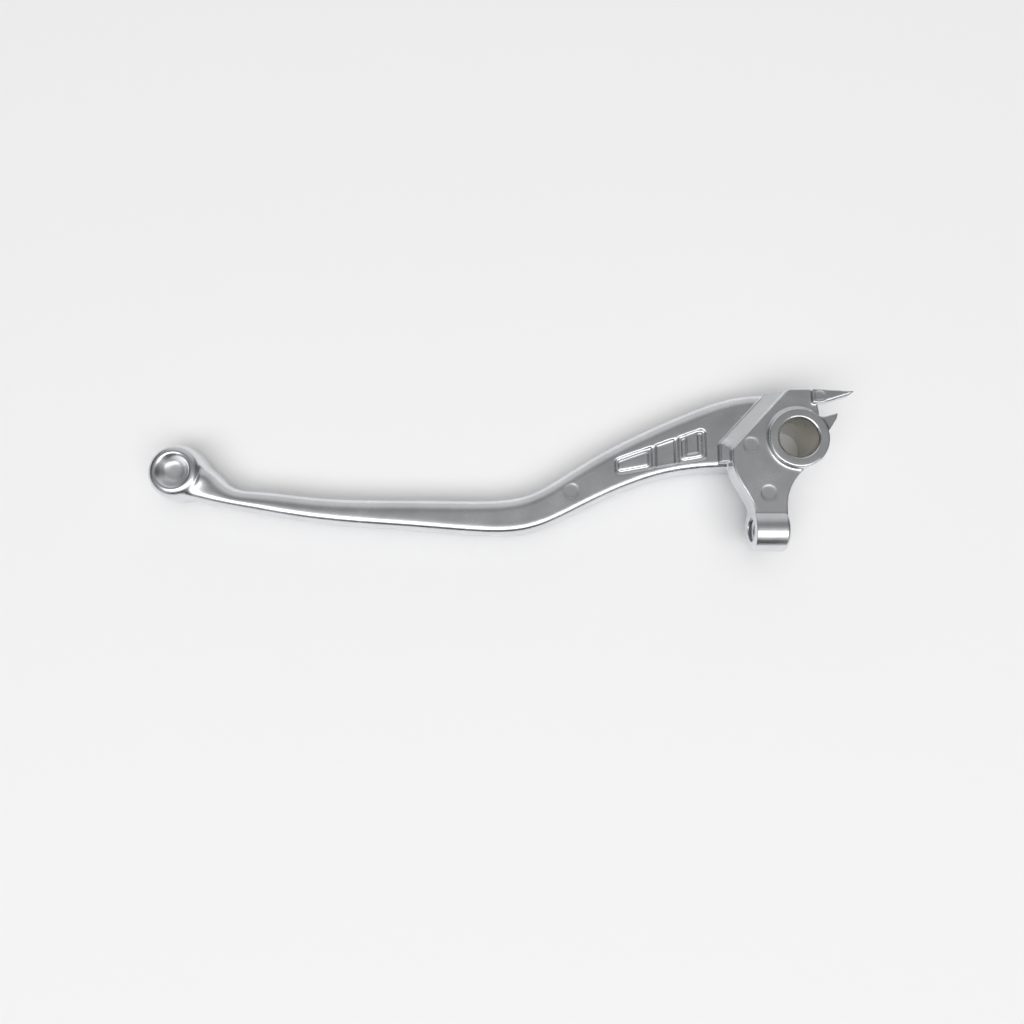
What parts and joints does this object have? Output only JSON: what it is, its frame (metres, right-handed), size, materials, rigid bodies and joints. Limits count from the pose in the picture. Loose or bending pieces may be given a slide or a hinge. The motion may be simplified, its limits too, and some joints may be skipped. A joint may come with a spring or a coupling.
{
  "type": "motorcycle brake lever",
  "caption": "Cast aluminium motorcycle brake lever: stepped head with a pivot boss and a threaded adjuster lug, cranked arm with a cast pocket, slim blade and ball end.",
  "frame": {"origin": "middle of the pivot bore, on its axis and halfway along its length", "axes": "+Z along the pivot bore towards the side with the cast pocket and ejector marks, the blade runs out along -X to the ball end, +Y is the side the fingers pull on"},
  "size_m": [0.1804, 0.0414, 0.0161],
  "materials": {
    "cast_aluminium": "tumbled and lightly polished casting"
  },
  "bodies": {
    "root": {"brake_lever": "cast_aluminium"}
  },
  "joints": []
}
